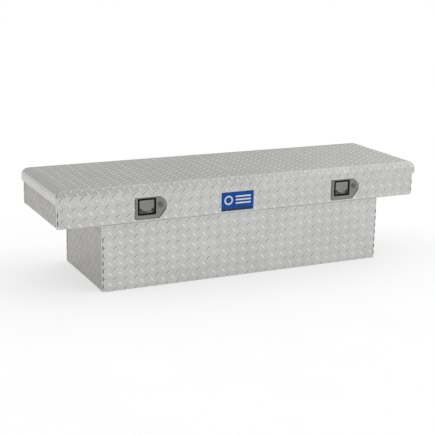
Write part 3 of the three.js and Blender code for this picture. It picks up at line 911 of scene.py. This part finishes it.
def studio():
    scene = bpy.context.scene
    scene.view_settings.view_transform = "Standard"
    scene.view_settings.look = "None"
    floor()
    world()
    key_light()


# ---- refined copies of machined and stamped parts ----
BODY_OF = {
    node: body
    for body, empty in frame["bodies"].items()
    for node, part in frame["nodes"].items() if part.parent == empty
}


def refined(node, slot, width=0.4, name=None):
    """A copy of a CAD part with its flats joined up and its edges rounded off."""
    mesh = frame["nodes"][node].data.copy()
    mesh.name = name or node
    bm = bmesh.new()
    bm.from_mesh(mesh)
    bmesh.ops.remove_doubles(bm, verts=bm.verts, dist=2e-6)
    bmesh.ops.dissolve_limit(bm, angle_limit=math.radians(1), verts=bm.verts, edges=bm.edges)
    bm.to_mesh(mesh)
    bm.free()
    mesh.materials.clear()
    mesh.materials.append(LOOK[slot])
    mesh.attributes.new("lug", "FLOAT", "POINT")
    piece = place(name or f"{node}_finished", mesh, BODY_OF[node], slot, [node], 40)
    edge = piece.modifiers.new("rounded edges", "BEVEL")
    edge.width = width * MM
    edge.segments = 2
    edge.limit_method = "ANGLE"
    edge.angle_limit = math.radians(42)
    edge.use_clamp_overlap = True
    return weighted_normals(piece)


def inset_loop(outline, distance):
    """Convex outline moved in by a distance, corner by corner."""
    moved = []
    for i, (x, y) in enumerate(outline):
        ax, ay = outline[i - 1]
        bx, by = outline[(i + 1) % len(outline)]
        la, lb = math.hypot(x - ax, y - ay), math.hypot(bx - x, by - y)
        na = (-(y - ay) / la, (x - ax) / la)
        nb = (-(by - y) / lb, (bx - x) / lb)
        mx, my = na[0] + nb[0], na[1] + nb[1]
        scale = distance * 2 / (mx * mx + my * my)
        moved.append((x + mx * scale, y + my * scale))
    return moved


def bezel_outline(x):
    """Latch plate outline: square top, rounded lower left corner, rounded wing over the lock."""
    left, right = x + PLATE_LEFT, x + PLATE_RIGHT
    low, high = PLATE_LOW.z, PLATE_HIGH.z
    wing, corner = 38, 9
    return [
        *arc(left + corner, low + corner, corner, 180, 90, 5), (x + 58, low),
        *arc(right - wing, 358, wing, -38, 100, 12), (x + 60, high), (left, high),
    ]


def ring_of(shell, loop, y):
    return [shell.point((u, y, v)) for u, v in loop]


def inset_rows(shell, outline, profile):
    """Loops of vertex numbers for each (inset, y) of a profile round an outline."""
    return [ring_of(shell, inset_loop(outline, inset), y) for inset, y in profile]


def dish_rows(shell, x, levels, radius):
    """Loops for each (half width, low, high, y) of a dish."""
    return [ring_of(shell, rounded_rectangle(x - half, x + half, low, high, radius), y)
            for half, low, high, y in levels]


def planar_fill(shell, outer, holes, y, look=0):
    """Meshes the flat between loops of vertex numbers, facing the front."""
    loops = [outer, *holes]
    numbers = [i for loop in loops for i in loop]
    flat = [[(shell.points[i].x, shell.points[i].z) for i in loop] for loop in loops]
    coords, triangles, origins, inside = triangulate(flat)
    made = []
    for spot, sources in zip(coords, origins):
        made.append(numbers[sources[0]] if sources else shell.point((spot.x, y, spot.y)))
    add_triangles(shell, triangles, inside, made, len(holes), look)


def latch_plate(side, x):
    """Bezel with a rolled rim, a lock boss and a dished pocket with a slot for the paddle's tail; the
    pocket is painted far lighter than the bezel to lift the shade in it.
    """
    shell = Shell()
    back_y, front_y, wall_y = FRONT_Y - CLEAR, PLATE_LOW.y, POCKET_BACK + SHEET
    rim = [
        (0, back_y), (0, front_y + 0.5), (0.5, front_y - 0.8), (1.6, front_y - 1.9),
        (2.9, front_y - 2.2), (4.2, front_y - 1.7), (5.2, front_y - 0.5), (5.9, front_y),
    ]
    rows = inset_rows(shell, bezel_outline(x), rim)
    shell.loft(rows)
    mouth = rounded_rectangle(x - 40, x + 40, 324, 394, 3)
    pocket = inset_rows(shell, mouth, [(0, front_y), (0.5, front_y + 0.5), (0.6, front_y + 2.4)])
    boss = [
        (6.2, front_y), (5.6, front_y - 0.7), (3.2, front_y - 0.7), (2.6, front_y),
        (0, front_y), (0, back_y),
    ]
    lock = []
    for grow, y in boss:
        lock.append(ring_of(shell, circle(x + LOCK_X, LOCK_Z, LOCK_HOLE + grow, 28), y))
    planar_fill(shell, rows[-1], [pocket[0], lock[0]], front_y)
    shell.loft(lock)
    dish = (
        (39, 326, 393, front_y + 5), (38, 330, 392.5, -241), (37, 338, 392, -235),
        (36, 346, 391.5, -231.5), (34, 350, 391, POCKET_BACK),
    )
    pocket += dish_rows(shell, x, dish, 3)
    # the pocket walls and floor take the lighter metal: painted light
    shell.loft(pocket, look=1)
    tail_slot = rectangle(x - 1, x + 9, 352.5, 383)
    slot_front = ring_of(shell, tail_slot, POCKET_BACK)
    slot_back = ring_of(shell, tail_slot, wall_y)
    planar_fill(shell, pocket[-1], [slot_front], POCKET_BACK, look=1)
    shell.loft([slot_front, slot_back])
    dish_behind = (
        (41.4, 322.4, 395.4, back_y), (41, 323.5, 395, front_y + 6), (40, 328, 394, -240),
        (38.6, 335, 393.6, -233), (37.4, 343, 393, -230), (35.4, 348, 392.6, wall_y),
    )
    wall = dish_rows(shell, x, dish_behind, 3.5)
    shell.loft(wall)
    planar_fill(shell, wall[-1], [slot_back], wall_y)
    planar_fill(shell, rows[0], [wall[0], lock[-1]], back_y)
    shell.make(f"{side}_latch_plate", "tub", "stainless", [f"{side}_latch_bezel"],
               ["stainless", "latch_dish"], smooth=45)


def latch_gasket(side, x):
    """Black frame round the paddle: a stem in the pocket mouth and a crowned lip over the plate."""
    shell = Shell()
    front_y, foot_y = PLATE_LOW.y, -249.8
    section = [
        (39.2, foot_y), (39.2, front_y - 0.15), (41.8, front_y - 0.15), (41.8, front_y - 0.7),
        (41.0, front_y - 1.3), (38.0, front_y - 1.7), (35.0, front_y - 1.3), (34.0, front_y - 0.6),
        (34.0, foot_y),
    ]
    middle_z, less_high = 359, 5.1
    rows = []
    for half, y in section:
        half_z = half - less_high
        radius = max(0.8, half - 36.5)
        loop = rounded_rectangle(x - half, x + half, middle_z - half_z, middle_z + half_z, radius)
        rows.append(ring_of(shell, loop, y))
    shell.loft(rows + rows[:1])
    shell.make(f"{side}_gasket_frame", "tub", "seal_rubber", [f"{side}_latch_gasket"])


# the lock barrel and plug take the darkened chrome, painted shade on the lock face
LATCH_PARTS = (
    ("paddle_pin", "stainless", 0.2), ("lock_barrel", "chrome_lock", 0.5), ("lock_nut", "zinc_steel", 0.5),
    ("lock_plug", "chrome_lock", 0.25), ("lock_cam", "zinc_steel", 0.3), ("latch_frame", "zinc_steel", 0.3),
    ("rotary_catch", "zinc_steel", 0.4), ("catch_pin", "stainless", 0.4), ("trip_pawl", "zinc_steel", 0.3),
    ("striker", "zinc_steel", 0.5),
)
STRUT_PARTS = (
    ("strut_cylinder", "black_enamel", 0.8), ("strut_rod", "chrome_rod", 0.4),
    ("strut_foot_stud", "zinc_steel", 0.3), ("strut_head_stud", "zinc_steel", 0.3),
    ("strut_foot_plate", "zinc_steel", 0.5), ("strut_head_bracket", "zinc_steel", 0.4),
)


def latches():
    for (side, _), x in zip(SIDES, LATCH_X):
        latch_plate(side, x)
        latch_gasket(side, x)
        refined(f"{side}_paddle", "stainless", 0.5, name=f"{side}_paddle_pull")
        for node, slot, width in LATCH_PARTS:
            refined(f"{side}_{node}", slot, width)


def struts():
    for side, _ in SIDES:
        for node, slot, width in STRUT_PARTS:
            refined(f"{side}_{node}", slot, width)
    for strip in ("front_seam_strip", "rear_seam_strip"):
        refined(strip, "zinc_steel", 0.3)


# ---- lid inside, rim and seal ----
def sweep_ring(name, profile, half_x, half_y, radius, slot, replaced):
    """Closed profile of (inset, z) swept round a rounded rectangle; the inset runs inwards."""
    shell = Shell()
    rows = []
    for inset, z in profile:
        loop = rounded_rectangle(-half_x + inset, half_x - inset, -half_y + inset, half_y - inset,
                                 max(radius - inset, 0.5), 6)
        rows.append([shell.point((x, y, z)) for x, y in loop])
    shell.loft(rows + rows[:1])
    shell.make(name, "tub", slot, replaced, smooth=50)


def rim_and_seal():
    low, high = cad("rim_seal")
    width = 12
    foot = [(0, low.z), (width, low.z), (width, low.z + 1.3), (width - 2.2, low.z + 1.6)]
    profile = foot + seal_arc(width, low.z) + [(2.2, low.z + 1.6), (0, low.z + 1.3)]
    sweep_ring("rim_seal_bulb", profile, high.x, high.y, 14, "seal_rubber", ["rim_seal"])
    low, high = cad("rim_flange")
    lip = [
        (0, low.z), (0, high.z), (24, high.z), (24.8, high.z - 0.4), (25, high.z - 1.4),
        (25, high.z - 5), (23.6, high.z - 5), (23.6, low.z),
    ]
    sweep_ring("rim_flange_return", lip, high.x, high.y, 4, "tread_sheet", ["rim_flange"])


def seal_arc(width, base):
    """Flattened bulb over the foot of the seal."""
    return [(width / 2 + 4.4 * u, base + 4.15 + 3.5 * v) for u, v in arc(0, 0, 1, -35, 250, 10)]


class Beads:
    """Pressed stiffening beads: outlines of (u, v, length, width)."""

    def __init__(self, bars):
        self.bars = bars

    def contours(self, region):
        for u, v, length, width in self.bars:
            for shrink, height in ((0, 0), (2, 0.35), (5, 0.9), (8, 1.0)):
                yield stadium(u, v, length - shrink, width - shrink), height


def lid_inside():
    """Liner with pressed beads on the side that shows when the lid is up, and the foam core above it."""
    low, high = cad("lid_liner")
    shell = Shell()
    ring = [(low.x, low.y), (low.x, high.y), (high.x, high.y), (high.x, low.y)]
    bars = [(u, v, 520, 14) for v in (-120, 0, 120) for u in (-300, 300)]
    bars += [(u, 0, 150, 14) for u in (-772, 772)]
    down = [Vector((x, y, low.z)) for x, y in ring]
    lower = flat_region(shell, down, [], Vector((0, 0, -1)), -low.z, Beads(bars), -1.0)[0]
    upper = [shell.point((x, y, high.z)) for x, y in ring]
    shell.loft([lower, upper])
    shell.face(upper)
    shell.make("lid_liner_sheet", "lid", "plain_sheet", ["lid_liner"], smooth=50)

    low, high = cad("lid_foam")
    shell = Shell()
    rows = []
    for inset, z in ((2.5, low.z), (0, low.z + 2.5), (0, high.z - 3), (3, high.z)):
        loop = rounded_rectangle(low.x + inset, high.x - inset, low.y + inset, high.y - inset, 6)
        rows.append([shell.point((x, y, z)) for x, y in loop])
    shell.loft(rows)
    shell.face(tuple(rows[0]))
    shell.face(tuple(rows[-1]))
    foam = shell.make("lid_foam_core", "lid", "lid_foam", ["lid_foam"], smooth=50)


def rivet(shell, u, z, y, radius=3.0):
    """Domed rivet head on a face that looks along Y."""
    rows = []
    for share, rise in ((1.0, 0.0), (1.0, 0.35), (0.82, 0.85), (0.45, 1.2)):
        rows.append([(a, y + rise, b) for a, b in circle(u, z, radius * share, 12)])
    shell.tube(rows)


KNUCKLES = 68
LEAF_RIVETS = 28


def piano_hinge():
    """Continuous hinge: two leaves with interleaved rolled knuckles, a pin and dome rivets."""
    tub_low = cad("hinge_leaf_tub")[0]
    lid_high = cad("hinge_leaf_lid")[1]
    pin_low, pin_high = cad("hinge_pin")
    axis_y, axis_z = (pin_low.y + pin_high.y) / 2, (pin_low.z + pin_high.z) / 2
    barrel, bore, thick = 3.5, 1.8, 1.5
    length = pin_high.x - pin_low.x
    pitch = length / KNUCKLES
    leaves = (
        ("tub", "hinge_leaf_tub", tub_low.y, tub_low.z, axis_z - barrel - 0.5, -1, 0),
        ("lid", "hinge_leaf_lid", axis_y + CLEAR, axis_z + barrel + 0.5, lid_high.z, 1, 1),
    )
    for body, node, y, z0, z1, side, parity in leaves:
        shell = Shell()
        outline = rounded_rectangle(pin_low.x, pin_high.x, z0, z1, 1.2, 2)
        edge = [(0.25, y), (0, y + 0.25), (0, y + thick - 0.3), (0.3, y + thick)]
        rows = inset_rows(shell, outline, edge)
        shell.loft(rows)
        planar_fill(shell, rows[0], [], y)
        planar_fill(shell, rows[-1], [], y + thick)
        for k in range(parity, KNUCKLES, 2):
            x0, x1 = pin_low.x + k * pitch + 0.2, pin_low.x + (k + 1) * pitch - 0.2
            foot_z = z1 if side < 0 else z0
            section = knuckle_section(axis_y, axis_z, barrel, bore, y, y + thick, foot_z, side)
            ends = [[shell.point((x, a, b)) for a, b in section] for x in (x0, x1)]
            shell.loft(ends)
            half = len(section) // 2
            for end in ends:
                for i in range(half - 1):
                    shell.face((end[i], end[i + 1], end[-i - 2], end[-i - 1]))
        for k in range(LEAF_RIVETS):
            x = pin_low.x + (k + 0.5) * length / LEAF_RIVETS
            rivet(shell, x, (z0 + z1) / 2, y + thick)
        shell.make(f"{body}_hinge_leaf", body, "stainless", [node], ["hinge_stainless"], smooth=40)
    refined("hinge_pin", "stainless", 0.3)


def knuckle_section(cy, cz, outer, inner, near, far, foot_z, side, steps=14):
    """Rolled knuckle in Y-Z: out from the leaf's foot round the pin, and back along the bore."""
    start, sweep = side * 20, side * -300
    outside = [(far, foot_z), *arc(cy, cz, outer, start, sweep, steps)]
    inside = [(near, foot_z), *arc(cy, cz, inner, start, sweep, steps)]
    return outside + inside[::-1]


def nameplate():
    """Blue enamelled plate with a black foot band and a plain white ring and bars, without lettering."""
    low, high = cad("nameplate")
    shell = Shell()
    wider, higher = 2, 2.5      # than the CAD plate, on each side
    left, right, base, top = low.x - wider, high.x + wider, low.z - higher, high.z + higher
    outline = rounded_rectangle(left, right, base, top, 3)
    back, front = high.y, low.y - 0.3
    rows = inset_rows(shell, outline, [(0, back), (0, front + 0.4), (0.4, front), (2.6, front)])
    shell.loft(rows)
    band_top = base + 13
    middle_z = (band_top + top) / 2
    emblem = circle(left + 34, middle_z, 21, 32)
    emblem_hole = circle(left + 34, middle_z, 14, 32)
    bars = [rounded_rectangle(left + 68, right - 14, middle_z + lift - 3.5, middle_z + lift + 3.5, 2)
            for lift in (15, 0, -15)]
    band = rectangle(left + 2.7, right - 2.7, base + 2.7, band_top)
    raised = front - 0.25
    loops = [ring_of(shell, loop, front) for loop in (emblem, *bars, band)]
    planar_fill(shell, rows[-1], loops, front)
    planar_fill(shell, rows[0], [], back)
    for loop, look in zip([emblem, *bars, band], (1, 1, 1, 1, 2)):
        foot = ring_of(shell, loop, front)
        crown = ring_of(shell, inset_loop(loop, 0.25), raised)
        shell.loft([foot, crown], look=look)
        if loop is not emblem:
            shell.face(crown, look)
            continue
        hole = ring_of(shell, emblem_hole, raised)
        hole_foot = ring_of(shell, emblem_hole, front)
        shell.loft([hole, hole_foot], look=look)
        planar_fill(shell, crown, [hole], raised, look)
        planar_fill(shell, hole_foot, [], front)
    shell.make("nameplate_badge", "tub", "nameplate_enamel", ["nameplate"],
               ["nameplate_enamel", "nameplate_white", "nameplate_black"], smooth=45)


camera()
studio()
lid_shell()
tub_sheets()
weld_beads()
latches()
rim_and_seal()
lid_inside()
piano_hinge()
struts()
nameplate()

boxes = {"cad": CAD_BOX, "visual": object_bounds()}
{name: [list(corner) for corner in box] for name, box in boxes.items()}
